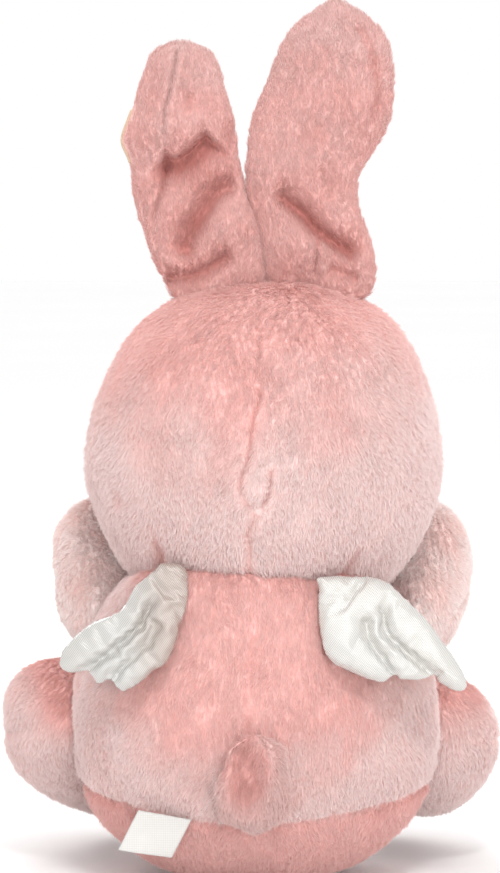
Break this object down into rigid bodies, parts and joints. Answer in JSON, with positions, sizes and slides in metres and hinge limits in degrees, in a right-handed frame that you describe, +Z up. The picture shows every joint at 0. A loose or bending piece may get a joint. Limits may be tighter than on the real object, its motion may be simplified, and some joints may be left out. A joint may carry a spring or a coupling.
{
  "type": "stuffed bunny rabbit",
  "caption": "Sitting plush bunny with tall floppy ears, small satin wings, a cupped tail, stuffed arms and legs and a rounded weighted seat.",
  "frame": {"origin": "on the surface the toy sits on, under the middle of its bounding box", "axes": "+Z up, the face looks towards -Y, +X is the toy's own left"},
  "size_m": [0.172, 0.1646, 0.3],
  "materials": {
    "plush": "matte",
    "ear_lining": "matte",
    "satin": "satin",
    "polyester_filling": "matte",
    "pouch_cloth": "matte",
    "eye_plastic": "gloss",
    "washer_plastic": "matte",
    "thread": "matte",
    "ribbon": "satin"
  },
  "bodies": {
    "torso": {"seat_base": "plush", "body_back_left": "plush", "body_back_right": "plush", "belly_panel": "plush", "bean_pouch": "pouch_cloth", "body_stuffing": "polyester_filling"},
    "neck": {"neck_wad": "polyester_filling"},
    "head": {"head_back_left": "plush", "head_back_right": "plush", "head_front_left": "plush", "head_front_right": "plush", "head_stuffing": "polyester_filling", "muzzle_pad": "plush", "nose": "thread", "mouth_stitch": "thread", "eye_left": "eye_plastic", "eye_right": "eye_plastic", "eye_washer_left": "washer_plastic", "eye_washer_right": "washer_plastic"},
    "ear_left": {"ear_left_back": "plush", "ear_left_lining": "ear_lining", "ear_left_stuffing": "polyester_filling"},
    "ear_right": {"ear_right_back": "plush", "ear_right_lining": "ear_lining", "ear_right_stuffing": "polyester_filling"},
    "arm_left": {"arm_left_upper": "plush", "arm_left_lower": "plush", "arm_left_stuffing": "polyester_filling"},
    "arm_right": {"arm_right_upper": "plush", "arm_right_lower": "plush", "arm_right_stuffing": "polyester_filling"},
    "leg_left": {"leg_left_upper": "plush", "leg_left_lower": "plush", "foot_left_sole": "plush", "leg_left_stuffing": "polyester_filling"},
    "leg_right": {"leg_right_upper": "plush", "leg_right_lower": "plush", "foot_right_sole": "plush", "leg_right_stuffing": "polyester_filling"},
    "wing_left": {"wing_left_outer": "satin", "wing_left_inner": "satin", "wing_left_batting": "polyester_filling"},
    "wing_right": {"wing_right_outer": "satin", "wing_right_inner": "satin", "wing_right_batting": "polyester_filling"},
    "tail": {"tail_outer": "plush", "tail_inner": "plush", "tail_stuffing": "polyester_filling"},
    "label": {"care_label": "ribbon"}
  },
  "joints": [
    {"name": "head_turn", "type": "hinge", "parent": "torso", "child": "neck", "pos_m": [-0.00479, 0.01025, 0.145], "axis": [0, 0, 1], "range_deg": [-15, 15], "stiffness_Nm_per_rad": 0.4},
    {"name": "head_nod", "type": "hinge", "parent": "neck", "child": "head", "pos_m": [-0.00479, 0.01025, 0.145], "axis": [1, 0, 0], "range_deg": [-8, 8], "stiffness_Nm_per_rad": 0.6},
    {"name": "ear_left_fold", "type": "hinge", "parent": "head", "child": "ear_left", "pos_m": [0.014, 0.01325, 0.203], "axis": [1, 0, 0], "range_deg": [-45, 45], "stiffness_Nm_per_rad": 0.08},
    {"name": "ear_right_fold", "type": "hinge", "parent": "head", "child": "ear_right", "pos_m": [-0.025, 0.01325, 0.203], "axis": [1, 0, 0], "range_deg": [-45, 45], "stiffness_Nm_per_rad": 0.08},
    {"name": "arm_left_swing", "type": "hinge", "parent": "torso", "child": "arm_left", "pos_m": [0.042, 0.00725, 0.08], "axis": [1, 0, 0], "range_deg": [-2, 14], "stiffness_Nm_per_rad": 0.15},
    {"name": "arm_right_swing", "type": "hinge", "parent": "torso", "child": "arm_right", "pos_m": [-0.05, 0.00725, 0.08], "axis": [1, 0, 0], "range_deg": [-2, 14], "stiffness_Nm_per_rad": 0.15},
    {"name": "leg_left_swing", "type": "hinge", "parent": "torso", "child": "leg_left", "pos_m": [0.06, 0.01125, 0.047], "axis": [1, 0, 0], "range_deg": [-10, 0], "stiffness_Nm_per_rad": 0.2},
    {"name": "leg_right_swing", "type": "hinge", "parent": "torso", "child": "leg_right", "pos_m": [-0.06, 0.01125, 0.047], "axis": [1, 0, 0], "range_deg": [-10, 0], "stiffness_Nm_per_rad": 0.2},
    {"name": "wing_left_lift", "type": "hinge", "parent": "torso", "child": "wing_left", "pos_m": [0.02301, 0.06075, 0.111], "axis": [0.9848, -0.1736, 0], "range_deg": [0, 60], "stiffness_Nm_per_rad": 0.02},
    {"name": "wing_right_lift", "type": "hinge", "parent": "torso", "child": "wing_right", "pos_m": [-0.02659, 0.06075, 0.106], "axis": [0.9848, 0.1736, 0], "range_deg": [0, 60], "stiffness_Nm_per_rad": 0.02},
    {"name": "tail_flop", "type": "hinge", "parent": "torso", "child": "tail", "pos_m": [-0.00179, 0.06925, 0.0245], "axis": [1, 0, 0], "range_deg": [-40, 0], "stiffness_Nm_per_rad": 0.02},
    {"name": "label_flip", "type": "hinge", "parent": "torso", "child": "label", "pos_m": [0.02771, 0.06045, 0.0255], "axis": [0.8829, 0, 0.4695], "range_deg": [-20, 70], "stiffness_Nm_per_rad": 0.0005}
  ]
}
